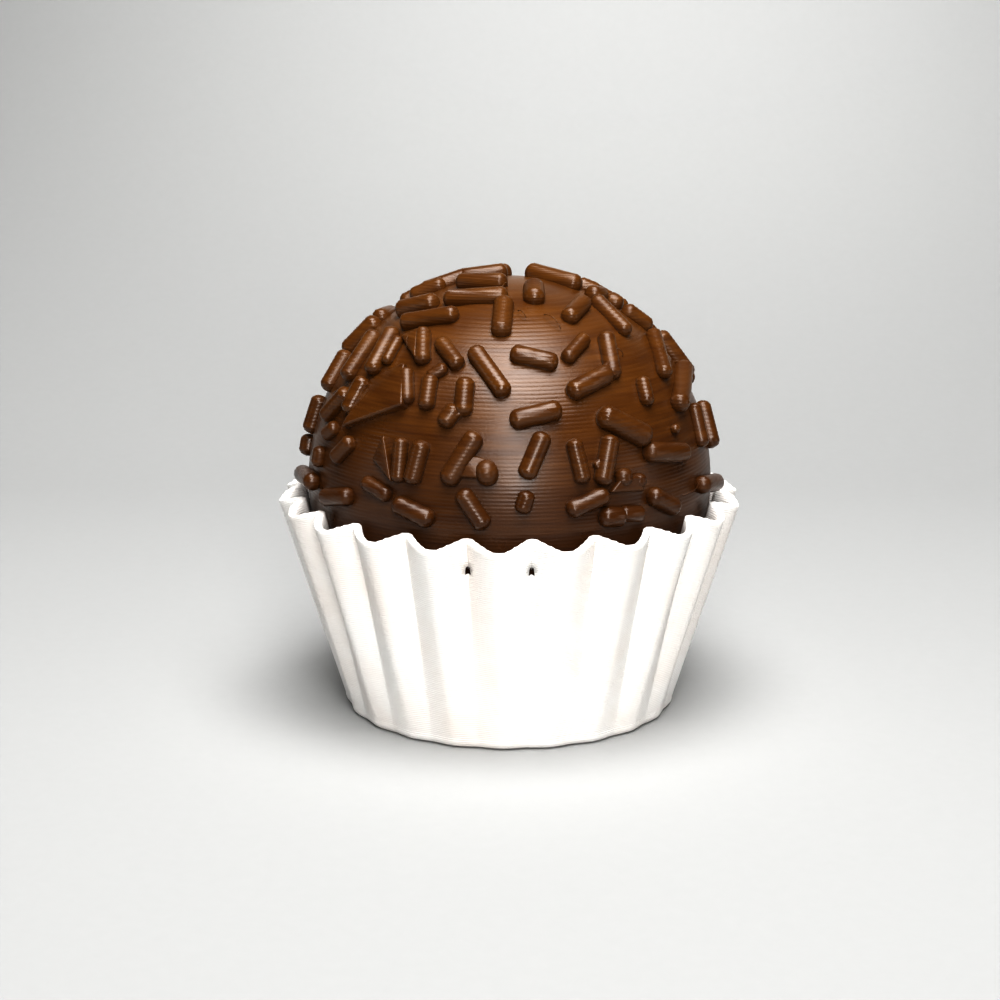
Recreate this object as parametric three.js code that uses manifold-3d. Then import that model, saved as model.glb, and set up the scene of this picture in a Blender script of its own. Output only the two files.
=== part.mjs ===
// A plastic copy of a brigadeiro: a chocolate ball covered in sprinkles, resting in a pleated cup.
// Millimetres, +Z up. The origin is the centre of the cup's underside; -Y is the front.
import * as THREE from "three";
import { mergeVertices } from "three/addons/utils/BufferGeometryUtils.js";
import { ConvexGeometry } from "three/addons/geometries/ConvexGeometry.js";
import Module from "manifold-3d";

const wasm = await Module();
wasm.setup();

// Ball
const BALL_RADIUS = 16;
const BALL_CENTRE_Z = 18.4;
const BALL_AROUND = 30;
const BALL_UP = 15;

// Sprinkles: half-sunk rods
const SPRINKLE_DIAMETER = 1.45;
const SPRINKLE_RISE = 0.22;        // of the rod's axis above the ball's surface
const SPRINKLE_SIDES = 6;
const SPRINKLE_END = 0.55;         // height of a rod's faceted end, as a share of its radius
const WEB_ROOT = 0.6;              // depth to which a web is rooted in the ball

// Cup
const PLEATS = 22;
const FRONT_RIDGE = -2.5;          // degrees from the front to the nearest outer ridge
const WALL = 0.6;
const FLOOR = 2.1;
const RIM_Z = 17.3;
const RIM_WAVE = 0.35;             // folds stand this much above, ridges this much below
const BASE_RIDGE_RADIUS = 13.1;    // the outer ridges' radius, carried down to the floor
const WALL_SLOPE = 0.312;
const BASE_DEPTH = 0.08;           // half the pleats' depth at the floor and at the rim
const RIM_DEPTH = 0.82;
const CREASE = 0.96;               // how sharply ridges and folds turn, 1 for a zigzag
const RIM_LEAN = 0.5;              // how much broader ridges are than folds at the rim
const BASE_FILLET = 0.8;
const BASE_TUCK = 0.55;            // how far the underside's edge lies within the wall
const TUCK_STEP = 0.3;             // share of that tuck left at the wall's first row
const BALL_GAP = 0.2;
const OUTER_ROWS = [0.25, BASE_FILLET, 6, 12];
const INNER_ROWS = [16, 14, 11.5, FLOOR];
const STEPS_PER_PLEAT = 6;

// Small three-cornered gaps in the folds just below the rim, [angle from the front, width]
const GAPS = [[-10.7, 0.4], [5.7, 0.55]];
const GAP_Z = 15.25;
const GAP_RADIUS = 17;
const GAP_LENGTH = 4;

const deg = THREE.MathUtils.degToRad;
const towards = (lon, lat) => new THREE.Vector3(
  Math.cos(deg(lat)) * Math.sin(deg(lon)), -Math.cos(deg(lat)) * Math.cos(deg(lon)), Math.sin(deg(lat)));

// Rods on the front: longitude and latitude of both ends in degrees, then the diameter if unusual.
const FRONT_RODS = [
  // crown
  [-109, 75, -176, 84], [-78, 75, -4, 80], [-50, 66, -1, 71], [-4, 69, -4, 54, 1.6], [33, 78, 18, 68, 1.7],
  [150, 81, 88, 70, 1.6], [57, 65, 31, 59], [70, 65, 60, 50, 1.3], [78, 67, 95, 63], [110, 70, 104, 63],
  [97, 62, 92, 57], [88, 57, 92, 47], [-78, 57, -53, 65, 1.6], [-97, 61, -97, 72], [-60, 54, -29, 61],
  // left shoulder
  [-93, 37, -93, 51, 1.6], [-72, 49, -67, 33], [-61, 52, -54, 37], [-53, 50, -50, 41, 1],
  [-43, 54, -33, 43, 1.3], [-31, 51, -18, 43, 1.3], [-23, 43, -29, 39, 1], [-28, 40, -26, 30, 1.3],
  [-39, 41, -33, 31, 1.2], [-56, 36, -57, 25], [-88, 39, -82, 27], [-100, 33, -100, 28, 1.2],
  [-61, 31, -70, 21], [-15, 49, -1, 35], [-15, 40, -14, 29], [-16, 32, -20, 26],
  // right shoulder
  [0, 48, 18, 44], [35, 52, 21, 45, 1.2], [46, 52, 37, 38, 1.4], [19, 35, 37, 40, 1.6], [83, 47, 62, 35, 1.3],
  [93, 45, 92, 29, 1.6], [86, 34, 60, 26, 1.6], [50, 37, 47, 29, 1.2], [74, 25, 70, 13, 1.2], [91, 22, 83, 10],
  // left side
  [-90, 24, -88, 13], [-92, 12, -90, 6], [-90, 1, -66, 4], [-67, 14, -67, 8, 1.2], [-66, 17, -60, 21, 1.2],
  [-50, 19, -57, 12, 1.3], [-61, 1, -47, 4], [-43, 9, -33, 6, 1.2], [-32, 5, -20, 1, 1.5],
  [-32, 22, -31, 10, 1.2], [-25, 22, -27, 10], [-9, 25, -17, 11, 1.6], [-8, 14, -4, 15, 2],
  [-13, 10, -6, 0, 1.5],
  // right side
  [0, 28, 16, 31, 1.6], [10, 25, 4, 13, 1.5], [18, 23, 20, 11, 1.3], [30, 23, 25, 10, 1.5],
  [27, 29, 43, 20, 1.9], [40, 17, 58, 14, 1.6], [5, 10, 3, 4, 1.3], [15, 4, 27, 8], [32, 14, 32, 9],
  [37, 12, 37, 8, 1.2], [24, 2, 32, 1, 1.6], [30, 2, 38, 1, 1.3], [40, 6, 51, 0, 1.5], [63, 4, 84, 0],
  [56, 22, 56, 20, 0.8],
];

// Webs between rods: for each corner, its longitude, latitude and height above the ball
const WEBS = [
  [-39, 42, 0.9, -33, 30, 1, -55, 21, 0.9, -55, 36, 0.1], [-52, 50, 0.5, -43, 53, 0.9, -35, 43, 0.9],
  [-37, 22, 0.9, -41, 15, 0.3, -32, 10, 0.9], [-15, 36, 0.7, -14, 29, 0.7, -19, 27, 0.7],
  [25, 39, 0.8, 38, 43, 0.8, 38, 38, 0.8], [30, 20, 0.8, 23, 16, 0.5, 26, 10, 0.8],
  [74, 43, 0.6, 74, 38, 0.7, 62, 36, 0.8], [27, 8, 0.6, 38, 7, 0.6, 37, 11, 0.8, 31, 12, 0.8],
  [-14, 20, 0.6, -15, 13, 0.5, -8, 13, 0.7, -6, 18, 0.3],
];

// Rods on the back, in rings: latitude, number, first and last longitude
const BACK_RINGS = [[73, 2, 205, 255], [60, 4, 118, 242], [48, 7, 108, 252], [36, 8, 106, 254],
  [24, 9, 105, 256], [11, 10, 104, 255]];
const BACK_LENGTH = 4.1;
const GOLDEN_ANGLE = 137.5;

function solid(geometry) {
  geometry.deleteAttribute("normal");
  geometry.deleteAttribute("uv");
  const merged = mergeVertices(geometry, 1e-5);
  return new wasm.Manifold(new wasm.Mesh({
    numProp: 3,
    vertProperties: new Float32Array(merged.attributes.position.array),
    triVerts: new Uint32Array(merged.index.array),
  }));
}

function geometryOf(manifold) {
  const mesh = manifold.getMesh();
  const geometry = new THREE.BufferGeometry();
  geometry.setAttribute("position", new THREE.BufferAttribute(mesh.vertProperties, 3));
  geometry.setIndex(new THREE.BufferAttribute(mesh.triVerts, 1));
  geometry.computeVertexNormals();
  return geometry;
}

// A rod from one direction to another, its ends reaching just to them.
function rod(from, to, diameter = SPRINKLE_DIAMETER) {
  const radius = diameter / 2;
  const reach = BALL_RADIUS + SPRINKLE_RISE;
  const start = from.clone().multiplyScalar(reach);
  const end = to.clone().multiplyScalar(reach);
  const along = end.clone().sub(start);
  const length = Math.max(along.length() - diameter * SPRINKLE_END, 0.2);
  const middle = start.add(end).multiplyScalar(0.5);
  const up = middle.clone().normalize();
  along.addScaledVector(up, -along.dot(up)).normalize();
  const side = new THREE.Vector3().crossVectors(along, up);
  const geometry = new THREE.CapsuleGeometry(radius, length, 1, SPRINKLE_SIDES, 1);
  const position = geometry.attributes.position;
  for (let i = 0; i < position.count; i++) {
    const y = position.getY(i);
    if (Math.abs(y) > length / 2 + 0.01) {
      position.setY(i, Math.sign(y) * (length / 2 + SPRINKLE_END * radius));
    }
  }
  geometry.applyMatrix4(new THREE.Matrix4().makeBasis(side, along, new THREE.Vector3()
    .crossVectors(side, along)));
  geometry.translate(...middle.setLength(reach));
  return solid(geometry);
}

function web(corners) {
  const points = [];
  for (let i = 0; i < corners.length; i += 3) {
    const direction = towards(corners[i], corners[i + 1]);
    points.push(direction.clone().multiplyScalar(BALL_RADIUS + corners[i + 2]));
    points.push(direction.clone().multiplyScalar(BALL_RADIUS - WEB_ROOT));
  }
  return solid(new ConvexGeometry(points));
}

// The rods of the back turn a golden-angle step from each to the next, so no two rows look alike.
function backRods() {
  const rods = [];
  let turn = 20;
  for (const [lat, count, first, last] of BACK_RINGS) {
    for (let i = 0; i < count; i++) {
      turn += GOLDEN_ANGLE;
      const lon = first + (last - first) * i / (count - 1) + 4 * Math.sin(deg(3 * turn));
      const heading = deg(turn);
      const half = BACK_LENGTH * (0.9 + 0.2 * Math.sin(deg(5 * turn))) / 2;
      const angle = half / BALL_RADIUS;
      const centre = towards(lon, lat + 2.5 * Math.cos(deg(2 * turn)));
      const east = towards(lon + 90, 0);
      const north = new THREE.Vector3().crossVectors(centre, east);
      const heads = east.multiplyScalar(Math.cos(heading)).addScaledVector(north, Math.sin(heading));
      const tip = (sign) => centre.clone().multiplyScalar(Math.cos(angle))
        .addScaledVector(heads, sign * Math.sin(angle));
      rods.push(rod(tip(1), tip(-1)));
    }
  }
  return rods;
}

function ball() {
  const sphere = new THREE.SphereGeometry(BALL_RADIUS, BALL_AROUND, BALL_UP);
  sphere.rotateX(Math.PI / 2);
  let whole = solid(sphere);
  for (const [lonA, latA, lonB, latB, diameter] of FRONT_RODS) {
    whole = whole.add(rod(towards(lonA, latA), towards(lonB, latB), diameter));
  }
  for (const corners of WEBS) whole = whole.add(web(corners));
  for (const piece of backRods()) whole = whole.add(piece);
  return whole;
}

// The pleats' wave, 1 on a ridge and -1 in a fold, and how its radius changes with the angle.
function pleat(angle, height) {
  const t = THREE.MathUtils.clamp(height / RIM_Z, 0, 1);
  const depth = THREE.MathUtils.lerp(BASE_DEPTH, RIM_DEPTH, t);
  const turn = PLEATS * angle;
  const lean = RIM_LEAN * t ** 3 * Math.sin(turn);
  const wave = Math.asin(CREASE * Math.cos(turn - lean)) / Math.asin(CREASE);
  const ridge = BASE_RIDGE_RADIUS + WALL_SLOPE * height - WALL / 2;
  return ridge - depth + depth * wave;
}

const rimHeight = (angle) => RIM_Z - RIM_WAVE * Math.cos(PLEATS * angle);

// A point on the wall: its mid-line moved out (+) or in (-) along the mid-line's own normal.
function wallPoint(angle, height, offset) {
  const step = 1e-4;
  const at = (a) => {
    const r = pleat(a, height);
    const turned = a + deg(FRONT_RIDGE);
    return new THREE.Vector2(r * Math.sin(turned), -r * Math.cos(turned));
  };
  const tangent = at(angle + step).sub(at(angle - step)).normalize();
  const point = at(angle).add(new THREE.Vector2(tangent.y, -tangent.x).multiplyScalar(offset));
  return new THREE.Vector3(point.x, point.y, height);
}

// Inner points keep clear of the ball.
function clearOfBall(point) {
  const drop = point.z - BALL_CENTRE_Z;
  const least = Math.sqrt(Math.max((BALL_RADIUS + BALL_GAP) ** 2 - drop * drop, 0));
  const radius = Math.hypot(point.x, point.y);
  const scale = Math.max(least / radius, 1);
  return new THREE.Vector3(point.x * scale, point.y * scale, point.z);
}

function cup() {
  const around = PLEATS * STEPS_PER_PLEAT;
  const rows = [];
  const angleAt = (i) => 2 * Math.PI * i / around;
  const row = (place) => rows.push(Array.from({ length: around }, (_, i) => place(angleAt(i))));
  const inset = (a, z, amount) => {
    const edge = wallPoint(a, Math.max(z, BASE_FILLET), WALL / 2);
    const scale = 1 - amount / Math.hypot(edge.x, edge.y);
    return new THREE.Vector3(edge.x * scale, edge.y * scale, z);
  };
  row((a) => inset(a, 0, BASE_TUCK));
  for (const z of OUTER_ROWS) row((a) => inset(a, z, z < BASE_FILLET ? BASE_TUCK * TUCK_STEP : 0));
  row((a) => wallPoint(a, rimHeight(a), WALL / 2));
  row((a) => clearOfBall(wallPoint(a, rimHeight(a), -WALL / 2)));
  for (const z of INNER_ROWS) row((a) => clearOfBall(wallPoint(a, z, -WALL / 2)));

  const positions = rows.flat().flatMap((p) => p.toArray());
  const index = [];
  for (let k = 0; k < rows.length - 1; k++) {
    for (let i = 0; i < around; i++) {
      const a = k * around + i;
      const b = k * around + (i + 1) % around;
      index.push(a, b, b + around, a, b + around, a + around);
    }
  }
  const bottom = positions.length / 3;
  positions.push(0, 0, 0, 0, 0, FLOOR);
  const last = (rows.length - 1) * around;
  for (let i = 0; i < around; i++) {
    const next = (i + 1) % around;
    index.push(bottom, next, i, bottom + 1, last + i, last + next);
  }
  const geometry = new THREE.BufferGeometry();
  geometry.setAttribute("position", new THREE.Float32BufferAttribute(positions, 3));
  geometry.setIndex(index);
  let whole = solid(geometry);
  for (const [angle, width] of GAPS) {
    const wedge = new THREE.CylinderGeometry(width / Math.sqrt(3), width / Math.sqrt(3), GAP_LENGTH, 3);
    wedge.rotateY(Math.PI);
    wedge.rotateZ(deg(angle));
    wedge.translate(GAP_RADIUS * Math.sin(deg(angle)), -GAP_RADIUS * Math.cos(deg(angle)), GAP_Z);
    whole = whole.subtract(solid(wedge));
  }
  return whole;
}

function mesh(name, manifold, color, roughness) {
  const material = new THREE.MeshStandardMaterial({ color, roughness, metalness: 0 });
  const object = new THREE.Mesh(geometryOf(manifold), material);
  object.name = name;
  return object;
}

const brigadeiro = new THREE.Group();
const ballMesh = mesh("ball", ball(), 0x5a3214, 0.35);
ballMesh.position.z = BALL_CENTRE_Z;
brigadeiro.add(mesh("cup", cup(), 0xf4f2ee, 0.55), ballMesh);

export default brigadeiro;
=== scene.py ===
"""Looks of a plastic brigadeiro: a printed chocolate ball with sprinkles in a white pleated cup."""

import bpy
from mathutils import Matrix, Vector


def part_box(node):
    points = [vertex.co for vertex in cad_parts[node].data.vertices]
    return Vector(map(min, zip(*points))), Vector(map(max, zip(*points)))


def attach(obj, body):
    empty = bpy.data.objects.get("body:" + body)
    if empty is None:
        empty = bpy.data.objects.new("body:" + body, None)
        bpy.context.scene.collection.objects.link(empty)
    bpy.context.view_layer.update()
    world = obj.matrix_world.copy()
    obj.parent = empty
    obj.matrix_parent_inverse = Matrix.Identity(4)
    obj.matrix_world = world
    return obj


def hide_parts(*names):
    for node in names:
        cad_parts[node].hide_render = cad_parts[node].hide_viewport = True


bl_info = {
    "name": "Plastic Brigadeiro",
    "version": (1, 0, 0),
    "blender": (4, 5, 0),
    "location": "View3D > Sidebar > Brigadeiro",
    "description": "Builds the printed ball, its sprinkles and the pleated cup on their CAD frame",
    "category": "Object",
}

import bisect
import math

import bmesh
import bpy
from bpy.props import FloatProperty, FloatVectorProperty, IntProperty, PointerProperty
from mathutils import Matrix, Vector, noise

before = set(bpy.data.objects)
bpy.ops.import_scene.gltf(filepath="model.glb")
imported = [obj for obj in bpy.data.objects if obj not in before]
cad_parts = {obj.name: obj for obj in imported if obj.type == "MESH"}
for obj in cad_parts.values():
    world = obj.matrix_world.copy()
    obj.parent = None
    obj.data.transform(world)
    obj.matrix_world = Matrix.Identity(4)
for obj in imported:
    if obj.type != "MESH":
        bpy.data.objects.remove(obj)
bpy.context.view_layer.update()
BALL_LOW = Vector(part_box("ball")[0])
CUP_HIGH = Vector(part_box("cup")[1])

MM = 0.001
UP = Vector((0, 0, 1))
BALL_RADIUS = 16 * MM
BALL_CENTRE = Vector((0, 0, BALL_LOW.z + BALL_RADIUS))
SHOULDER = 0.28  # share of a layer's height over which it rounds off towards a joint
GOLDEN_ANGLE = 137.5  # degrees

# Rods on the front: longitude and latitude of both ends in degrees, then the diameter in
# millimetres where it is unusual. Longitude 0 faces -Y and grows towards +X.
FRONT_RODS = (
    # crown
    (-109, 75, -176, 84), (-78, 75, -4, 80), (-50, 66, -1, 71), (-4, 69, -4, 54, 1.6),
    (33, 78, 18, 68, 1.7), (150, 81, 88, 70, 1.6), (57, 65, 31, 59), (70, 65, 60, 50, 1.3),
    (78, 67, 95, 63), (110, 70, 104, 63), (97, 62, 92, 57), (88, 57, 92, 47),
    (-78, 57, -53, 65, 1.6), (-97, 61, -97, 72), (-60, 54, -29, 61),
    # left shoulder
    (-93, 37, -93, 51, 1.6), (-72, 49, -67, 33), (-61, 52, -54, 37), (-53, 50, -50, 41, 1),
    (-43, 54, -33, 43, 1.3), (-31, 51, -18, 43, 1.3), (-23, 43, -29, 39, 1), (-28, 40, -26, 30, 1.3),
    (-39, 41, -33, 31, 1.2), (-56, 36, -57, 25), (-88, 39, -82, 27), (-100, 33, -100, 28, 1.2),
    (-61, 31, -70, 21), (-15, 49, -1, 35), (-15, 40, -14, 29), (-16, 32, -20, 26),
    # right shoulder
    (0, 48, 18, 44), (35, 52, 21, 45, 1.2), (46, 52, 37, 38, 1.4), (19, 35, 37, 40, 1.6),
    (83, 47, 62, 35, 1.3), (93, 45, 92, 29, 1.6), (86, 34, 60, 26, 1.6), (50, 37, 47, 29, 1.2),
    (74, 25, 70, 13, 1.2), (91, 22, 83, 10),
    # left side
    (-90, 24, -88, 13), (-92, 12, -90, 6), (-90, 1, -66, 4), (-67, 14, -67, 8, 1.2),
    (-66, 17, -60, 21, 1.2), (-50, 19, -57, 12, 1.3), (-61, 1, -47, 4), (-43, 9, -33, 6, 1.2),
    (-32, 5, -20, 1, 1.5), (-32, 22, -31, 10, 1.2), (-25, 22, -27, 10), (-9, 25, -17, 11, 1.6),
    (-8, 14, -4, 15, 2), (-13, 10, -6, 0, 1.5),
    # right side
    (0, 28, 16, 31, 1.6), (10, 25, 4, 13, 1.5), (18, 23, 20, 11, 1.3), (30, 23, 25, 10, 1.5),
    (27, 29, 43, 20, 1.9), (40, 17, 58, 14, 1.6), (5, 10, 3, 4, 1.3), (15, 4, 27, 8), (32, 14, 32, 9),
    (37, 12, 37, 8, 1.2), (24, 2, 32, 1, 1.6), (30, 2, 38, 1, 1.3), (40, 6, 51, 0, 1.5), (63, 4, 84, 0),
    (56, 22, 56, 20, 0.8),
)

# Webs of plastic between rods: corners, each a longitude, a latitude and a height above the ball
WEBS = (
    (-39, 42, 0.9, -33, 30, 1, -55, 21, 0.9, -55, 36, 0.1), (-52, 50, 0.5, -43, 53, 0.9, -35, 43, 0.9),
    (-37, 22, 0.9, -41, 15, 0.3, -32, 10, 0.9), (-15, 36, 0.7, -14, 29, 0.7, -19, 27, 0.7),
    (25, 39, 0.8, 38, 43, 0.8, 38, 38, 0.8), (30, 20, 0.8, 23, 16, 0.5, 26, 10, 0.8),
    (74, 43, 0.6, 74, 38, 0.7, 62, 36, 0.8), (27, 8, 0.6, 38, 7, 0.6, 37, 11, 0.8, 31, 12, 0.8),
    (-14, 20, 0.6, -15, 13, 0.5, -8, 13, 0.7, -6, 18, 0.3),
)

# Gaps in the cup's foremost folds: pleats from the foremost ridge to the fold, and rows of faces high
GAPS = ((21.5, 2), (0.5, 2))

# Rods on the back, in rings: latitude, number, first and last longitude
BACK_RINGS = (
    (73, 2, 205, 255), (60, 4, 118, 242), (48, 7, 108, 252), (36, 8, 106, 254), (24, 9, 105, 256),
    (11, 10, 104, 255),
)

# Hairs drawn out between rods: longitude and latitude of both ends, and how far each bows out
HAIRS = (
    (54, 3, 63, 5, 0.5), (-72, 28, -63, 31, 0.3), (20, 62, 25, 56, 0.4), (-8, 74, -3, 78, 0.5),
    (-47, 52, -44, 47, 0.5), (44, 47, 47, 44, 0.4), (5, 64, 9, 61, 0.3), (-58, 42, -52, 44, 0.4),
    (140, 40, 150, 36, 0.5), (200, 55, 208, 50, 0.5),
)


def length(name, description, millimetres):
    """A length property, given in millimetres and held in metres."""
    return FloatProperty(name=name, description=description, default=millimetres * MM, min=0,
                         precision=5, subtype="DISTANCE", unit="LENGTH")


def share(name, description, default):
    """A property between nought and one."""
    return FloatProperty(name=name, description=description, default=default, min=0, max=1,
                         subtype="FACTOR")


def colour(name, description, default):
    """A colour property."""
    return FloatVectorProperty(name=name, description=description, default=default, size=3,
                               min=0, max=1, subtype="COLOR")


class BallSizes(bpy.types.PropertyGroup):
    """Sizes of the ball and of its printed layers."""

    radius: length("Radius", "Radius of the bare ball", BALL_RADIUS / MM)
    coarse_layer: length("Coarse layer", "Layer height where the wall is upright", 0.28)
    fine_layer: length("Fine layer", "Layer height at the crown, where it lies flat", 0.105)
    bead: length("Bead", "How far each layer bulges past its joints", 0.016)
    terrace: share("Terrace", "How far each layer stands upright rather than along the slope", 0.3)
    hidden_below: length("Hidden below", "Depth under the centre where the cup hides the layers", 8)
    around: IntProperty(name="Around", description="Steps round the ball", default=224, min=24)


class SprinkleSizes(bpy.types.PropertyGroup):
    """Sizes of the rods, webs and hairs."""

    diameter: length("Diameter", "Diameter of an ordinary rod", 1.45)
    rise: length("Rise", "Height of a rod's axis above the ball", 0.22)
    blunt: share("Blunt", "Length of a rod's rounded end, as a share of its radius", 0.8)
    back_length: length("Length at the back", "Length of the rods on the back", 4.1)
    web_edge: length("Web edge", "How far a web's edges are rounded", 0.22)
    web_root: length("Web root", "Depth to which a web is rooted in the ball", 0.6)
    bead: length("Bead", "How far each layer bulges past its joints", 0.015)
    terrace: share("Terrace", "How far each layer stands upright rather than along the slope", 0.3)
    wander: length("Wander", "How far one layer strays from the next", 0.011)
    seed: IntProperty(name="Seed", description="Seed of the layers' straying", default=5, min=1)
    sides: IntProperty(name="Sides", description="Sides of a rod", default=16, min=6)
    hair: length("Hair", "Thickness of a drawn-out hair", 0.07)


class CupSizes(bpy.types.PropertyGroup):
    """Sizes of the pleated cup."""

    pleats: IntProperty(name="Pleats", description="Number of pleats", default=22, min=3)
    front_ridge: FloatProperty(name="Front ridge", description="Turn of the foremost ridge",
                               default=math.radians(-2.5), subtype="ANGLE", unit="ROTATION")
    wall: length("Wall", "Thickness of the wall", 0.6)
    floor: length("Floor", "Thickness of the floor", 2.1)
    rim_wave: length("Rim wave", "How far folds stand above the mean rim", 0.35)
    base_ridge: length("Base ridge", "Radius of the outer ridges at the floor", 13.1)
    slope: share("Slope", "Growth of the radius with height", 0.312)
    base_depth: length("Base depth", "Half the pleats' depth at the floor", 0.08)
    rim_depth: length("Rim depth", "Half the pleats' depth at the rim", 0.82)
    crease: share("Crease", "How sharply ridges and folds turn", 0.96)
    lean: share("Lean", "How much broader ridges are than folds at the rim", 0.5)
    fillet: length("Fillet", "Height of the rounded lower edge", 0.8)
    tuck: length("Tuck", "How far the lower edge lies inside the wall", 0.5)
    lift: length("Lift", "Height of the lower edge above the floor", 0.13)
    layer: length("Layer", "Layer height of the cup", 0.17)
    ball_gap: length("Ball gap", "Clearance between the folds and the ball", 0.2)
    gap_height: length("Gap height", "Height of the small gaps in the two foremost folds", 15.2)
    gap_taper: share("Gap taper", "How far a gap's sides close towards its top", 0.8)
    lip: length("Lip", "Rounding of the rim's edges", 0.08)
    steps: IntProperty(name="Steps", description="Steps round each pleat", default=20, min=6)
    rows_outside: IntProperty(name="Rows outside", description="Rows up the outer wall", default=44, min=8)
    rows_inside: IntProperty(name="Rows inside", description="Rows down the inner wall", default=24, min=4)


class Finish(bpy.types.PropertyGroup):
    """Colours and gloss of the two plastics and of the stage."""

    brown: colour("Brown", "Chocolate plastic", (0.150, 0.062, 0.0105))
    brown_dark: colour("Dark brown", "Chocolate plastic in its darker layers", (0.098, 0.036, 0.0055))
    # Painted shade: the brown is darkened low on the ball, where the overhead light falls less, and left
    # as it is at the crown, ramping between the two heights below.
    painted_shade_low: colour("Low tint", "Tint of the chocolate plastic low on the ball", (0.50, 0.43, 0.38))
    painted_shade_crown: colour("High tint", "Tint of the chocolate plastic at the crown", (1, 1, 1))
    painted_shade_from: length("Tint from", "Height at which the low tint begins to fade", 16)
    painted_shade_to: length("Tint to", "Height at which the low tint is gone", 33)
    brown_roughness: share("Brown roughness", "Roughness of the chocolate plastic", 0.31)
    white: colour("White", "Cup plastic", (0.86, 0.845, 0.82))
    white_warm: colour("Warm white", "Cup plastic in its warmer patches", (0.84, 0.80, 0.76))
    white_roughness: share("White roughness", "Roughness of the cup plastic", 0.5)
    paper: colour("Paper", "Floor and backdrop", (0.41, 0.41, 0.406))


class StageSizes(bpy.types.PropertyGroup):
    """Places of the camera and the sweep."""

    camera_distance: length("Camera distance", "Camera in front of the ball's axis", 185.2)
    camera_height: length("Camera height", "Camera above the floor", 63.3)
    camera_pitch: FloatProperty(name="Camera pitch", description="Camera tilt below level",
                                default=math.radians(14.19), subtype="ANGLE", unit="ROTATION")
    camera_turn: FloatProperty(name="Camera turn", description="Camera turned to its left",
                               default=math.radians(0.235), subtype="ANGLE", unit="ROTATION")
    lens: FloatProperty(name="Lens", description="Focal length", default=85.86, min=10,
                        subtype="DISTANCE_CAMERA", unit="CAMERA")
    sweep_start: length("Sweep start", "Where the floor begins to curve up behind", 70)
    sweep_radius: length("Sweep radius", "Radius of the backdrop's curve", 120)
    sweep_width: length("Sweep width", "Width of the floor and backdrop", 900)


def sizes(name):
    """The scene's property group of that name."""
    return getattr(bpy.context.scene, "brigadeiro_" + name)


# Shapes ----------------------------------------------------------------------------------------

def towards(longitude, latitude):
    """The unit direction from the ball's centre at a longitude and latitude in degrees."""
    lon, lat = math.radians(longitude), math.radians(latitude)
    return Vector((math.cos(lat) * math.sin(lon), -math.cos(lat) * math.cos(lon), math.sin(lat)))


def finish_piece(name, bm, material, node):
    """Turns a bmesh into an object that rides on the part and stands for a CAD node."""
    mesh = bpy.data.meshes.new(name)
    bm.to_mesh(mesh)
    bm.free()
    piece = bpy.data.objects.new(name, mesh)
    bpy.context.scene.collection.objects.link(piece)
    mesh.shade_smooth()
    mesh.materials.append(material)
    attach(piece, "root")
    if node:
        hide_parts(node)
    return piece


def layer_heights(ball):
    """Heights of the layers' joints above the ball's centre: finer where the surface lies flatter."""
    heights = [-ball.radius]
    while heights[-1] < ball.radius + 1.5 * MM:
        upright = math.sqrt(max(1 - (heights[-1] / ball.radius) ** 2, 0))
        step = ball.fine_layer + (ball.coarse_layer - ball.fine_layer) * math.sqrt(upright)
        heights.append(heights[-1] + step)
    return heights


def in_layer(heights, height):
    """Where a height lies: the layer's number, how deep in its joint, how far below its middle."""
    number = min(max(bisect.bisect_right(heights, height) - 1, 0), len(heights) - 2)
    low, high = heights[number], heights[number + 1]
    part = (height - low) / (high - low)
    edge = min(part, 1 - part)
    depth = max(1 - edge / SHOULDER, 0)
    below = (0.5 - part) if edge > SHOULDER else math.copysign((0.5 - SHOULDER) * edge / SHOULDER,
                                                               0.5 - part)
    return number, depth, below * (high - low)


def cut_heights(heights, lowest, highest):
    """Each joint between two heights, and the shoulders on both its sides."""
    for low, high in zip(heights, heights[1:]):
        for height in (low, low + SHOULDER * (high - low), high - SHOULDER * (high - low)):
            if lowest < height < highest:
                yield height


def ball_profile(ball):
    """Half of the ball's outline, from pole to pole: each layer is a bead set back at its joints."""
    heights = layer_heights(ball)
    outline = [(0, -ball.radius)]
    for low, high in zip(heights, heights[1:]):
        if high < -ball.hidden_below:
            outline.append((math.sqrt(ball.radius ** 2 - high ** 2), high))
    for height in cut_heights(heights, outline[-1][1], ball.radius - 0.02 * MM):
        rim = math.sqrt(ball.radius ** 2 - height ** 2)
        depth, below = in_layer(heights, height)[1:]
        slope = min(height / rim, 2.5)
        outline.append((max(rim - ball.bead * depth - ball.terrace * slope * below, 0), height))
    outline.append((0, ball.radius))
    return outline


def build_ball(ball, material):
    """The bare ball, spun from its outline, then let stray a little as printed walls do."""
    bm = bmesh.new()
    corners = [bm.verts.new((r, 0, z)) for r, z in ball_profile(ball)]
    edges = [bm.edges.new(pair) for pair in zip(corners, corners[1:])]
    bmesh.ops.spin(bm, geom=corners + edges, cent=(0, 0, 0), axis=UP, angle=math.tau,
                   steps=ball.around, use_merge=True)
    bmesh.ops.remove_doubles(bm, verts=bm.verts, dist=0.004 * MM)
    bmesh.ops.recalc_face_normals(bm, faces=bm.faces)
    for vert in bm.verts:
        grain = Vector((vert.co.x * 300, vert.co.y * 300, vert.co.z * 2600))
        stray = 1 + 0.0006 * noise.noise(grain)
        vert.co = Vector((vert.co.x * stray, vert.co.y * stray, vert.co.z)) + BALL_CENTRE
    return finish_piece("ball_core", bm, material, "ball")


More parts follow.
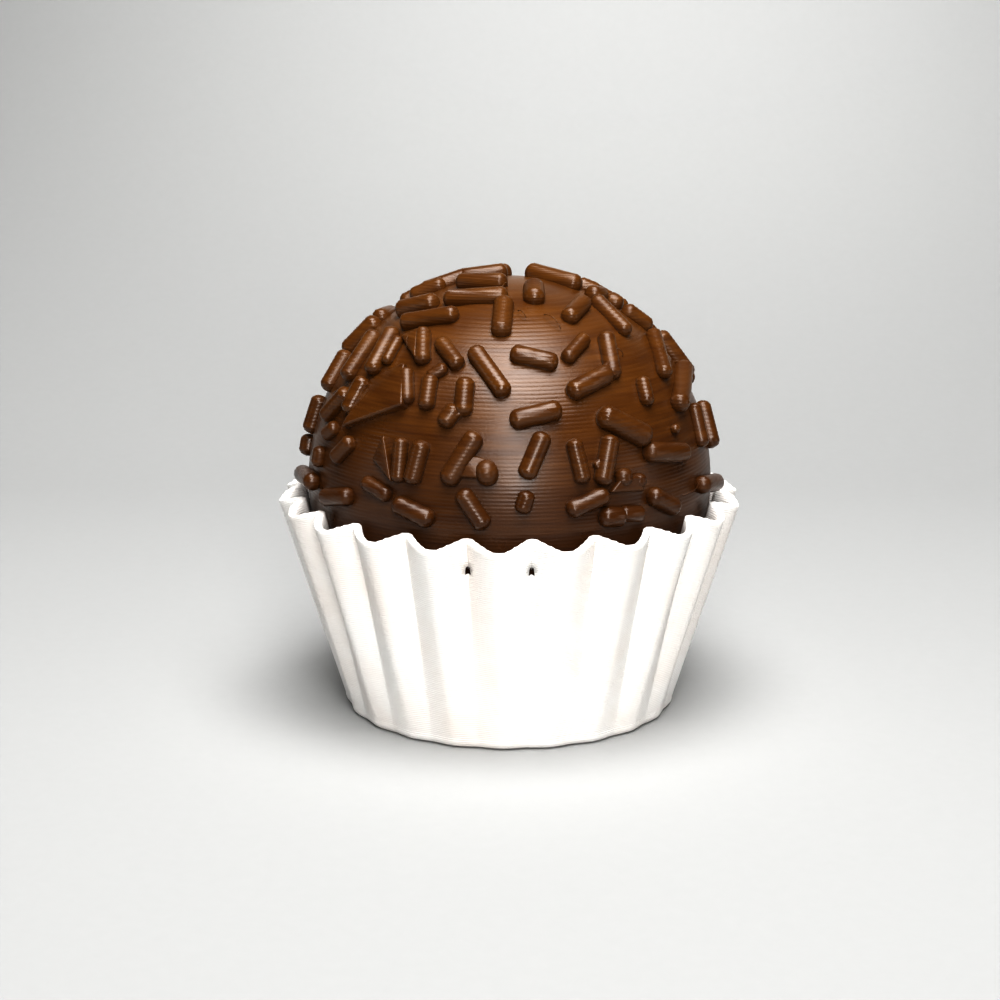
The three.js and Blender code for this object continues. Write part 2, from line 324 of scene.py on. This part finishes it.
def rod(start, end, diameter, sprinkle):
    """A round-ended rod whose ends reach just to two directions from the ball's centre."""
    bm = bmesh.new()
    reach = BALL_RADIUS + sprinkle.rise
    span = (end - start) * reach
    middle = ((start + end) / 2).normalized()
    along = (span - middle * span.dot(middle)).normalized()
    half = max(span.length - diameter * sprinkle.blunt, 0.1 * MM) / 2
    body = bmesh.ops.create_uvsphere(bm, u_segments=sprinkle.sides, v_segments=9,
                                     radius=diameter / 2)["verts"]
    for vert in body:
        if abs(vert.co.z) > 0.001 * MM:
            vert.co.z = math.copysign(half, vert.co.z) + vert.co.z * sprinkle.blunt
    place = Matrix((along.cross(middle), middle, along)).transposed().to_4x4()
    place.translation = middle * reach
    bmesh.ops.transform(bm, matrix=place, verts=body)
    return bm


def web(corners, sprinkle):
    """A plate between rods, rooted in the ball, with soft edges."""
    bm = bmesh.new()
    posts = []
    for lon, lat, rise in zip(corners[::3], corners[1::3], corners[2::3]):
        posts.append(bm.verts.new(towards(lon, lat) * (BALL_RADIUS + rise * MM)))
        posts.append(bm.verts.new(towards(lon, lat) * (BALL_RADIUS - sprinkle.web_root)))
    bmesh.ops.convex_hull(bm, input=posts)
    bmesh.ops.dissolve_limit(bm, angle_limit=math.radians(4), verts=bm.verts[:], edges=bm.edges[:])
    bmesh.ops.bevel(bm, geom=bm.edges[:], offset=sprinkle.web_edge, offset_type="OFFSET",
                    affect="EDGES", segments=3, profile=0.5, clamp_overlap=True, material=-1)
    return bm


def back_rods(sprinkle):
    """Ends of the rods on the back, each turned a golden-angle step from the one before."""
    turn = 20
    for lat, count, first, last in BACK_RINGS:
        for i in range(count):
            turn += GOLDEN_ANGLE
            lon = first + (last - first) * i / (count - 1) + 4 * math.sin(math.radians(3 * turn))
            half = sprinkle.back_length * (0.9 + 0.2 * math.sin(math.radians(5 * turn))) / 2
            centre = towards(lon, lat + 2.5 * math.cos(math.radians(2 * turn)))
            east = towards(lon + 90, 0)
            north = centre.cross(east)
            heads = (east * math.cos(math.radians(turn)) + north * math.sin(math.radians(turn)))
            angle = half / BALL_RADIUS
            yield tuple(centre * math.cos(angle) + heads * math.sin(sign * angle) for sign in (1, -1))


def print_layers(bm, heights, sprinkle, order):
    """Cuts a shape at its layers' joints and shoulders, then sets the joints back as beads are."""
    ends = [vert.co.z for vert in bm.verts]
    for height in cut_heights(heights, min(ends), max(ends)):
        bmesh.ops.bisect_plane(bm, geom=bm.verts[:] + bm.edges[:] + bm.faces[:],
                               plane_co=(0, 0, height), plane_no=UP, dist=0.002 * MM)
    bmesh.ops.recalc_face_normals(bm, faces=bm.faces)
    bm.normal_update()
    for vert in bm.verts:
        number, depth, below = in_layer(heights, vert.co.z)
        out = Vector((vert.normal.x, vert.normal.y, 0))
        level = max(out.length, 0.5)
        move = -sprinkle.bead * depth - sprinkle.terrace * below * vert.normal.z / level
        stray = noise.noise_vector(Vector((number * 3.7, order * 1.3, 0.5))) * (1 - depth)
        vert.co += out / level * move + Vector((stray.x, stray.y, 0)) * sprinkle.wander


def build_sprinkles(ball, sprinkle, material):
    """All rods and webs, printed layer by layer at the ball's own layer heights."""
    shapes = []
    for lon_a, lat_a, lon_b, lat_b, *unusual in FRONT_RODS:
        diameter = unusual[0] * MM if unusual else sprinkle.diameter
        shapes.append(rod(towards(lon_a, lat_a), towards(lon_b, lat_b), diameter, sprinkle))
    shapes += [rod(start, end, sprinkle.diameter, sprinkle) for start, end in back_rods(sprinkle)]
    shapes += [web(corners, sprinkle) for corners in WEBS]
    heights = layer_heights(ball)
    noise.seed_set(sprinkle.seed)
    bm = bmesh.new()
    for order, shape in enumerate(shapes):
        print_layers(shape, heights, sprinkle, order)
        part = bpy.data.meshes.new("part")
        shape.to_mesh(part)
        shape.free()
        bm.from_mesh(part)
        bpy.data.meshes.remove(part)
    bmesh.ops.translate(bm, verts=bm.verts, vec=BALL_CENTRE)
    return finish_piece("sprinkles", bm, material, "ball")


def build_hairs(sprinkle, material):
    """Thin bowed hairs of plastic between neighbouring rods, each the arc of a small ring."""
    bm = bmesh.new()
    for lon_a, lat_a, lon_b, lat_b, bow in HAIRS:
        reach = BALL_RADIUS + sprinkle.rise
        start, end = towards(lon_a, lat_a) * reach, towards(lon_b, lat_b) * reach
        chord = end - start
        out = ((start + end) / 2).normalized()
        out = (out - chord.normalized() * out.dot(chord.normalized())).normalized()
        sagitta = bow * MM
        radius = (chord.length ** 2 / 4 + sagitta ** 2) / (2 * sagitta)
        centre = (start + end) / 2 + out * (sagitta - radius)
        axis = (start - centre).cross(end - centre).normalized()
        angle = (start - centre).angle(end - centre)
        ring = bmesh.ops.create_circle(bm, segments=5, radius=sprinkle.hair / 2)["verts"]
        tangent = axis.cross(start - centre).normalized()
        turn = tangent.to_track_quat("Z", "Y").to_matrix().to_4x4()
        bmesh.ops.transform(bm, matrix=Matrix.Translation(start) @ turn, verts=ring)
        edges = list(dict.fromkeys(edge for vert in ring for edge in vert.link_edges))
        bmesh.ops.spin(bm, geom=ring + edges, cent=centre, axis=axis, angle=angle, steps=8)
    bmesh.ops.holes_fill(bm, edges=bm.edges[:], sides=8)
    bmesh.ops.recalc_face_normals(bm, faces=bm.faces)
    bmesh.ops.translate(bm, verts=bm.verts, vec=BALL_CENTRE)
    return finish_piece("hairs", bm, material, None)


# Cup -------------------------------------------------------------------------------------------

def blend(low, high, amount):
    """The value between two others."""
    return low + (high - low) * min(max(amount, 0), 1)


def pleat_radius(cup, angle, height):
    """Radius of the wall's mid-line: a wave whose ridges broaden and deepen from floor to rim."""
    up = height / (CUP_HIGH.z - cup.rim_wave)
    depth = blend(cup.base_depth, cup.rim_depth, up)
    turn = cup.pleats * angle
    lean = cup.lean * min(up, 1) ** 3
    wave = math.asin(cup.crease * math.cos(turn - lean * math.sin(turn))) / math.asin(cup.crease)
    return cup.base_ridge + cup.slope * height - cup.wall / 2 - depth + depth * wave


def rim_height(cup, angle):
    """Height of the rim: folds stand above ridges, in steps of one layer with soft corners."""
    plain = CUP_HIGH.z - cup.rim_wave - cup.rim_wave * math.cos(cup.pleats * angle)
    layers, part = divmod(plain / cup.layer, 1)
    soft = min(max((part - 0.3) / 0.4, 0), 1)
    return (layers + soft * soft * (3 - 2 * soft)) * cup.layer


def wall_point(cup, angle, height, offset):
    """A point of the wall, off its mid-line by an offset along the mid-line's own normal."""
    def at(turn):
        radius = pleat_radius(cup, turn, height)
        spot = turn + cup.front_ridge
        return Vector((radius * math.sin(spot), -radius * math.cos(spot), height))
    tangent = (at(angle + 1e-4) - at(angle - 1e-4)).normalized()
    return at(angle) + Vector((tangent.y, -tangent.x, 0)) * offset


def clear_of_ball(cup, point):
    """The point, moved outwards where it would come too close to the ball."""
    drop = point.z - BALL_CENTRE.z
    least = math.sqrt(max((BALL_RADIUS + cup.ball_gap) ** 2 - drop * drop, 0))
    scale = max(least / max(point.xy.length, MM), 1)
    return Vector((point.x * scale, point.y * scale, point.z))


def cup_rows(cup):
    """The cup's rows of points from underside to inner floor, each a function of the angle."""
    half = cup.wall / 2
    lip = cup.lip

    def underside(height, inset):
        def place(angle):
            edge = wall_point(cup, angle, cup.fillet, half)
            scale = 1 - inset / edge.xy.length
            return Vector((edge.x * scale, edge.y * scale, height))
        return place

    def outside(share_up):
        def place(angle):
            height = share_up * (rim_height(cup, angle) - lip)
            edge = wall_point(cup, angle, max(height, cup.fillet), half)
            bend = max(1 - height / cup.fillet, 0)
            scale = 1 - cup.tuck * bend ** 3 / edge.xy.length
            return Vector((edge.x * scale, edge.y * scale, height))
        return place

    def inside(share_up):
        def place(angle):
            height = cup.floor + share_up * (rim_height(cup, angle) - lip - cup.floor)
            return clear_of_ball(cup, wall_point(cup, angle, height, -half))
        return place

    def rim(across):
        def place(angle):
            point = wall_point(cup, angle, rim_height(cup, angle), across * (half - lip))
            return clear_of_ball(cup, point)
        return place

    rows = [underside(0, 3 * cup.tuck), underside(cup.lift, 2.6 * cup.tuck)]
    rows += [outside(cup.lift / CUP_HIGH.z + i / 150) for i in (0, 0.5, 1, 2, 4, 6)]
    foot = 0.055
    rows += [outside(foot + (1 - foot) * i / cup.rows_outside) for i in range(cup.rows_outside + 1)]
    rows += [rim(1), rim(0), rim(-1)]
    rows += [inside(1 - i / cup.rows_inside) for i in range(cup.rows_inside + 1)]
    return rows


def open_gap(bm, cup, angle_of, fold, rows):
    """Opens a gap through the wall at a fold, two steps to either side and pointed at its top."""
    reach = 2.1 * math.tau / (cup.pleats * cup.steps)
    sides = ([], [])
    for face in bm.faces:
        if all(abs(vert[angle_of] - fold) < reach for vert in face.verts):
            centre = face.calc_center_median()
            miss = abs(centre.z - cup.gap_height)
            inner = centre.xy.length < pleat_radius(cup, fold, centre.z)
            sides[inner].append((miss, face))
    for side in sides:
        side.sort(key=lambda found: found[0])
        bmesh.ops.delete(bm, geom=[face for miss, face in side[:4 * rows]], context="FACES")
    rims = [edge for edge in bm.edges if edge.is_boundary]
    corners = {vert for edge in rims for vert in edge.verts}
    low = min(vert.co.z for vert in corners)
    high = max(vert.co.z for vert in corners)
    tips = [vert for vert in corners if abs(vert[angle_of] - fold) < 1e-4]
    for vert in corners.difference(tips):
        tip = min(tips, key=lambda other: (other.co - vert.co).length)
        vert.co = vert.co.lerp(tip.co, cup.gap_taper * (vert.co.z - low) / (high - low))
    bmesh.ops.bridge_loops(bm, edges=rims)


def build_cup(cup, material):
    """The cup, grown ring by ring from a circle and closed at its underside and inner floor."""
    bm = bmesh.new()
    around = cup.pleats * cup.steps
    angle_of = bm.verts.layers.float.new("angle")
    ring = bmesh.ops.create_circle(bm, segments=around, radius=MM)["verts"]
    for i, vert in enumerate(ring):
        vert[angle_of] = math.tau * i / around
    edges = bm.edges[:]
    rows = cup_rows(cup)
    for vert in ring:
        vert.co = rows[0](vert[angle_of])
    bmesh.ops.edgeloop_fill(bm, edges=edges)
    for place in rows[1:]:
        grown = bmesh.ops.extrude_edge_only(bm, edges=edges)["geom"]
        edges = [item for item in grown if isinstance(item, bmesh.types.BMEdge)]
        for item in grown:
            if isinstance(item, bmesh.types.BMVert):
                item.co = place(item[angle_of])
    bmesh.ops.edgeloop_fill(bm, edges=edges)
    for cap in [face for face in bm.faces if len(face.verts) > 4]:
        bmesh.ops.poke(bm, faces=[cap])
    for fold, rows in GAPS:
        open_gap(bm, cup, angle_of, math.tau * fold / cup.pleats, rows)
    bmesh.ops.recalc_face_normals(bm, faces=bm.faces)
    return finish_piece("pleated_cup", bm, material, "cup")


# Materials -------------------------------------------------------------------------------------

def node_group(name, inputs, outputs):
    """An empty shader node group with named float or colour sockets."""
    group = bpy.data.node_groups.new(name, "ShaderNodeTree")
    for label, kind, value in inputs:
        socket = group.interface.new_socket(label, in_out="INPUT", socket_type=kind)
        socket.default_value = value
    for label, kind in outputs:
        group.interface.new_socket(label, in_out="OUTPUT", socket_type=kind)
    entry = group.nodes.new("NodeGroupInput")
    leave = group.nodes.new("NodeGroupOutput")
    return group, entry, leave


def add(tree, kind, **settings):
    """A node of that kind with its settings and its unlinked inputs."""
    node = tree.nodes.new("ShaderNode" + kind)
    inputs = settings.pop("inputs", {})
    for key, value in settings.items():
        setattr(node, key, value)
    for key, value in inputs.items():
        node.inputs[key].default_value = value
    return node


def print_streaks_group():
    """Unevenness from layer to layer: long level streaks, broad patches and fine grain."""
    group, entry, leave = node_group(
        "Print streaks",
        [("Layer", "NodeSocketFloat", 0.28 * MM), ("Run", "NodeSocketFloat", 9 * MM)],
        [("Streaks", "NodeSocketFloat"), ("Patches", "NodeSocketFloat"), ("Grain", "NodeSocketFloat")])
    link = group.links.new
    coords = add(group, "TexCoord")
    across = add(group, "Math", operation="DIVIDE", inputs={0: 1.0})
    upward = add(group, "Math", operation="DIVIDE", inputs={0: 1.0})
    link(entry.outputs["Run"], across.inputs[1])
    link(entry.outputs["Layer"], upward.inputs[1])
    scale = add(group, "CombineXYZ")
    link(across.outputs[0], scale.inputs["X"])
    link(across.outputs[0], scale.inputs["Y"])
    link(upward.outputs[0], scale.inputs["Z"])
    stretched = add(group, "VectorMath", operation="MULTIPLY")
    link(coords.outputs["Object"], stretched.inputs[0])
    link(scale.outputs[0], stretched.inputs[1])
    streaks = add(group, "TexNoise", inputs={"Scale": 1.0, "Detail": 2.0, "Roughness": 0.6})
    link(stretched.outputs[0], streaks.inputs["Vector"])
    patches = add(group, "TexNoise", inputs={"Scale": 180.0, "Detail": 3.0})
    link(coords.outputs["Object"], patches.inputs["Vector"])
    grain = add(group, "TexNoise", inputs={"Scale": 5200.0, "Detail": 2.0})
    link(coords.outputs["Object"], grain.inputs["Vector"])
    for node, label in ((streaks, "Streaks"), (patches, "Patches"), (grain, "Grain")):
        link(node.outputs["Fac"], leave.inputs[label])
    return group


def layer_ridges_group():
    """Level ridges, one a layer, as a height of nought to one above an uneven ground."""
    group, entry, leave = node_group(
        "Layer ridges", [("Layer", "NodeSocketFloat", 0.17 * MM), ("Blur", "NodeSocketFloat", 0.0)],
        [("Height", "NodeSocketFloat")])
    link = group.links.new
    coords = add(group, "TexCoord")
    axes = add(group, "SeparateXYZ")
    link(coords.outputs["Object"], axes.inputs[0])
    turns = add(group, "Math", operation="DIVIDE")
    link(axes.outputs["Z"], turns.inputs[0])
    link(entry.outputs["Layer"], turns.inputs[1])
    part = add(group, "Math", operation="PINGPONG", inputs={1: 0.5})
    link(turns.outputs[0], part.inputs[0])
    rounded = add(group, "MapRange", interpolation_type="SMOOTHSTEP",
                  inputs={"From Min": 0.0, "From Max": 0.5})
    link(part.outputs[0], rounded.inputs["Value"])
    uneven = add(group, "Math", operation="ADD")
    link(rounded.outputs["Result"], uneven.inputs[0])
    link(entry.outputs["Blur"], uneven.inputs[1])
    link(uneven.outputs[0], leave.inputs["Height"])
    return group


def start_material(name, roughness):
    """A material with a Principled shader and nothing else."""
    material = bpy.data.materials.new(name)
    material.use_nodes = True
    tree = material.node_tree
    shader = tree.nodes["Principled BSDF"]
    shader.inputs["Roughness"].default_value = roughness
    return material, tree, shader


def use_group(tree, group, **values):
    """The group as a node of this material, with its own values."""
    node = tree.nodes.new("ShaderNodeGroup")
    node.node_tree = group
    for key, value in values.items():
        node.inputs[key].default_value = value
    return node


def mix_colours(tree, low, high):
    """A colour mix from one colour to another."""
    node = add(tree, "Mix", data_type="RGBA")
    node.inputs["A"].default_value = (*low, 1)
    node.inputs["B"].default_value = (*high, 1)
    return node


def printed_chocolate(finish):
    """Brown plastic: half-glossy, darker and lighter from layer to layer, with painted shade that darkens
    it low on the ball and fades out towards the crown.
    """
    material, tree, shader = start_material("printed_chocolate", finish.brown_roughness)
    shader.inputs["Specular IOR Level"].default_value = 0.55
    link = tree.links.new
    streaks = use_group(tree, STREAKS, Layer=0.5 * MM, Run=7 * MM)
    tone = mix_colours(tree, finish.brown_dark, finish.brown)
    spread = add(tree, "MapRange", inputs={"From Min": 0.3, "From Max": 0.7})
    link(streaks.outputs["Streaks"], spread.inputs["Value"])
    link(spread.outputs["Result"], tone.inputs["Factor"])
    # Painted shade: the brown is multiplied darker low on the ball, fading out towards the crown.
    coords = add(tree, "TexCoord")
    axes = add(tree, "SeparateXYZ")
    link(coords.outputs["Object"], axes.inputs[0])
    height = add(tree, "MapRange", inputs={"From Min": finish.painted_shade_from, "From Max": finish.painted_shade_to})
    link(axes.outputs["Z"], height.inputs["Value"])
    tint = mix_colours(tree, finish.painted_shade_low, finish.painted_shade_crown)
    link(height.outputs["Result"], tint.inputs["Factor"])
    tinted = add(tree, "Mix", data_type="RGBA", blend_type="MULTIPLY", inputs={"Factor": 1.0})
    link(tone.outputs["Result"], tinted.inputs["A"])
    link(tint.outputs["Result"], tinted.inputs["B"])
    link(tinted.outputs["Result"], shader.inputs["Base Color"])
    gloss = add(tree, "MapRange", inputs={
        "From Min": 0.3, "From Max": 0.7,
        "To Min": finish.brown_roughness - 0.07, "To Max": finish.brown_roughness + 0.1})
    link(streaks.outputs["Patches"], gloss.inputs["Value"])
    link(gloss.outputs["Result"], shader.inputs["Roughness"])
    bump = add(tree, "Bump", inputs={"Strength": 0.5, "Distance": 0.02 * MM})
    link(streaks.outputs["Grain"], bump.inputs["Height"])
    link(bump.outputs["Normal"], shader.inputs["Normal"])
    return material


def printed_white(finish, cup):
    """White plastic: satin, with fine level layer lines that are uneven from layer to layer."""
    material, tree, shader = start_material("printed_white", finish.white_roughness)
    link = tree.links.new
    streaks = use_group(tree, STREAKS, Layer=0.34 * MM, Run=12 * MM)
    tone = mix_colours(tree, finish.white_warm, finish.white)
    spread = add(tree, "MapRange", inputs={"From Min": 0.35, "From Max": 0.6})
    link(streaks.outputs["Patches"], spread.inputs["Value"])
    link(spread.outputs["Result"], tone.inputs["Factor"])
    link(tone.outputs["Result"], shader.inputs["Base Color"])
    ridges = use_group(tree, RIDGES, Layer=cup.layer)
    link(streaks.outputs["Streaks"], ridges.inputs["Blur"])
    bump = add(tree, "Bump", inputs={"Strength": 0.6, "Distance": 0.03 * MM})
    link(ridges.outputs["Height"], bump.inputs["Height"])
    link(bump.outputs["Normal"], shader.inputs["Normal"])
    return material


def pale_paper(finish):
    """The floor and backdrop: matte paper with a fine tooth."""
    material, tree, shader = start_material("pale_paper", 0.9)
    link = tree.links.new
    coords = add(tree, "TexCoord")
    tooth = add(tree, "TexNoise", inputs={"Scale": 900.0, "Detail": 4.0})
    link(coords.outputs["Object"], tooth.inputs["Vector"])
    shade = mix_colours(tree, [c * 0.97 for c in finish.paper], finish.paper)
    link(tooth.outputs["Fac"], shade.inputs["Factor"])
    link(shade.outputs["Result"], shader.inputs["Base Color"])
    bump = add(tree, "Bump", inputs={"Strength": 0.15, "Distance": 0.1 * MM})
    link(tooth.outputs["Fac"], bump.inputs["Height"])
    link(bump.outputs["Normal"], shader.inputs["Normal"])
    return material


STREAKS = print_streaks_group()
RIDGES = layer_ridges_group()


def material_of(name, make, *values):
    """The material of that name, made on its first use."""
    return bpy.data.materials.get(name) or make(*values)


# Stage -----------------------------------------------------------------------------------------

def build_sweep(stage, material):
    """A floor that curves up into a backdrop behind the object."""
    bm = bmesh.new()
    near = bm.verts.new((-stage.sweep_width / 2, -0.9, 0))
    turn = bm.verts.new((-stage.sweep_width / 2, stage.sweep_start, 0))
    bm.edges.new((near, turn))
    curve = bmesh.ops.spin(
        bm, geom=[turn], cent=(0, stage.sweep_start, stage.sweep_radius), axis=(1, 0, 0),
        angle=math.radians(90), steps=24)["geom_last"]
    top = bmesh.ops.extrude_vert_indiv(bm, verts=[v for v in curve
                                                  if isinstance(v, bmesh.types.BMVert)])["verts"]
    bmesh.ops.translate(bm, verts=top, vec=(0, 0, 0.5))
    side = bmesh.ops.extrude_edge_only(bm, edges=bm.edges[:])["geom"]
    moved = [item for item in side if isinstance(item, bmesh.types.BMVert)]
    bmesh.ops.translate(bm, verts=moved, vec=(stage.sweep_width, 0, 0))
    bmesh.ops.recalc_face_normals(bm, faces=bm.faces)
    mesh = bpy.data.meshes.new("sweep")
    bm.to_mesh(mesh)
    bm.free()
    mesh.shade_smooth()
    mesh.materials.append(material)
    sweep = bpy.data.objects.new("sweep", mesh)
    bpy.context.scene.collection.objects.link(sweep)


def add_lamp(name, place, aim, width, depth, power, spread):
    """A rectangular soft lamp, aimed at a point, its beam spread over an angle in degrees."""
    lamp = bpy.data.lights.new(name, "AREA")
    lamp.shape = "RECTANGLE"
    lamp.size = width
    lamp.size_y = depth
    lamp.energy = power
    lamp.spread = math.radians(spread)
    holder = bpy.data.objects.new(name, lamp)
    holder.location = place
    holder.rotation_euler = (Vector(aim) - Vector(place)).to_track_quat("-Z", "Y").to_euler()
    bpy.context.scene.collection.objects.link(holder)


def build_camera(stage):
    """The camera, level across and tilted down at the object."""
    camera = bpy.data.cameras.new("camera")
    camera.lens = stage.lens
    camera.clip_start = 0.01
    holder = bpy.data.objects.new("camera", camera)
    holder.location = (0, -stage.camera_distance, stage.camera_height)
    holder.rotation_euler = (math.radians(90) - stage.camera_pitch, 0, stage.camera_turn)
    bpy.context.scene.collection.objects.link(holder)
    bpy.context.scene.camera = holder


def build_light():
    """A soft panel overhead, a tall one behind the camera, weak ones on the backdrop and sides."""
    middle = (0, 0, 0.018)
    add_lamp("key_panel", (0.02, -0.08, 0.36), middle, 0.3, 0.3, 0.5, spread=80)
    add_lamp("front_panel", (0.02, -0.30, 0.17), middle, 0.11, 0.26, 0.22, spread=90)
    add_lamp("back_panel", (0.012, 0.0, 0.26), (0.018, 0.17, 0.11), 0.08, 0.06, 0.045, spread=50)
    for side in (-1, 1):
        add_lamp("side_panel", (0.3 * side, -0.08, 0.04), middle, 0.12, 0.1, 0.007, spread=60)
    world = bpy.data.worlds.new("surround")
    world.use_nodes = True
    world.node_tree.nodes["Background"].inputs["Color"].default_value = (0.75, 0.77, 0.8, 1)
    world.node_tree.nodes["Background"].inputs["Strength"].default_value = 0.02
    bpy.context.scene.world = world
    view = bpy.context.scene.view_settings
    view.view_transform = "Standard"
    view.exposure = 0.5
    view.gamma = 0.65


# Operators -------------------------------------------------------------------------------------

class BRIGADEIRO_OT_ball(bpy.types.Operator):
    """Build the bare printed ball"""

    bl_idname = "brigadeiro.ball"
    bl_label = "Ball"

    def execute(self, context):
        build_ball(sizes("ball"), material_of("printed_chocolate", printed_chocolate, sizes("finish")))
        return {"FINISHED"}


class BRIGADEIRO_OT_sprinkles(bpy.types.Operator):
    """Build the sprinkles, the webs between them and the drawn-out hairs"""

    bl_idname = "brigadeiro.sprinkles"
    bl_label = "Sprinkles"

    def execute(self, context):
        brown = material_of("printed_chocolate", printed_chocolate, sizes("finish"))
        build_sprinkles(sizes("ball"), sizes("sprinkles"), brown)
        build_hairs(sizes("sprinkles"), brown)
        return {"FINISHED"}


class BRIGADEIRO_OT_cup(bpy.types.Operator):
    """Build the pleated cup"""

    bl_idname = "brigadeiro.cup"
    bl_label = "Cup"

    def execute(self, context):
        build_cup(sizes("cup"), material_of("printed_white", printed_white, sizes("finish"), sizes("cup")))
        return {"FINISHED"}


class BRIGADEIRO_OT_stage(bpy.types.Operator):
    """Set out the floor, the backdrop, the lamps and the camera"""

    bl_idname = "brigadeiro.stage"
    bl_label = "Stage"

    def execute(self, context):
        build_sweep(sizes("stage"), material_of("pale_paper", pale_paper, sizes("finish")))
        build_camera(sizes("stage"))
        build_light()
        return {"FINISHED"}


class BRIGADEIRO_PT_panel(bpy.types.Panel):
    """Sizes and build buttons of the plastic brigadeiro"""

    bl_label = "Brigadeiro"
    bl_space_type = "VIEW_3D"
    bl_region_type = "UI"
    bl_category = "Brigadeiro"

    def draw(self, context):
        for operator, group in ((BRIGADEIRO_OT_ball, "ball"), (BRIGADEIRO_OT_sprinkles, "sprinkles"),
                                (BRIGADEIRO_OT_cup, "cup"), (BRIGADEIRO_OT_stage, "stage")):
            box = self.layout.box()
            box.operator(operator.bl_idname)
            for name in sizes(group).__annotations__:
                box.prop(sizes(group), name)
        box = self.layout.box()
        for name in sizes("finish").__annotations__:
            box.prop(sizes("finish"), name)


GROUPS = {"ball": BallSizes, "sprinkles": SprinkleSizes, "cup": CupSizes, "finish": Finish,
          "stage": StageSizes}
CLASSES = (*GROUPS.values(), BRIGADEIRO_OT_ball, BRIGADEIRO_OT_sprinkles, BRIGADEIRO_OT_cup,
           BRIGADEIRO_OT_stage, BRIGADEIRO_PT_panel)


def register():
    """Registers the classes and hangs the property groups on the scene."""
    for cls in CLASSES:
        bpy.utils.register_class(cls)
    for name, group in GROUPS.items():
        setattr(bpy.types.Scene, "brigadeiro_" + name, PointerProperty(type=group))


def unregister():
    """Undoes register."""
    for name in GROUPS:
        delattr(bpy.types.Scene, "brigadeiro_" + name)
    for cls in reversed(CLASSES):
        bpy.utils.unregister_class(cls)


def main():
    """Builds every piece and the stage."""
    register()
    bpy.ops.brigadeiro.ball()
    bpy.ops.brigadeiro.sprinkles()
    bpy.ops.brigadeiro.cup()
    bpy.ops.brigadeiro.stage()


if __name__ == "__main__":
    main()
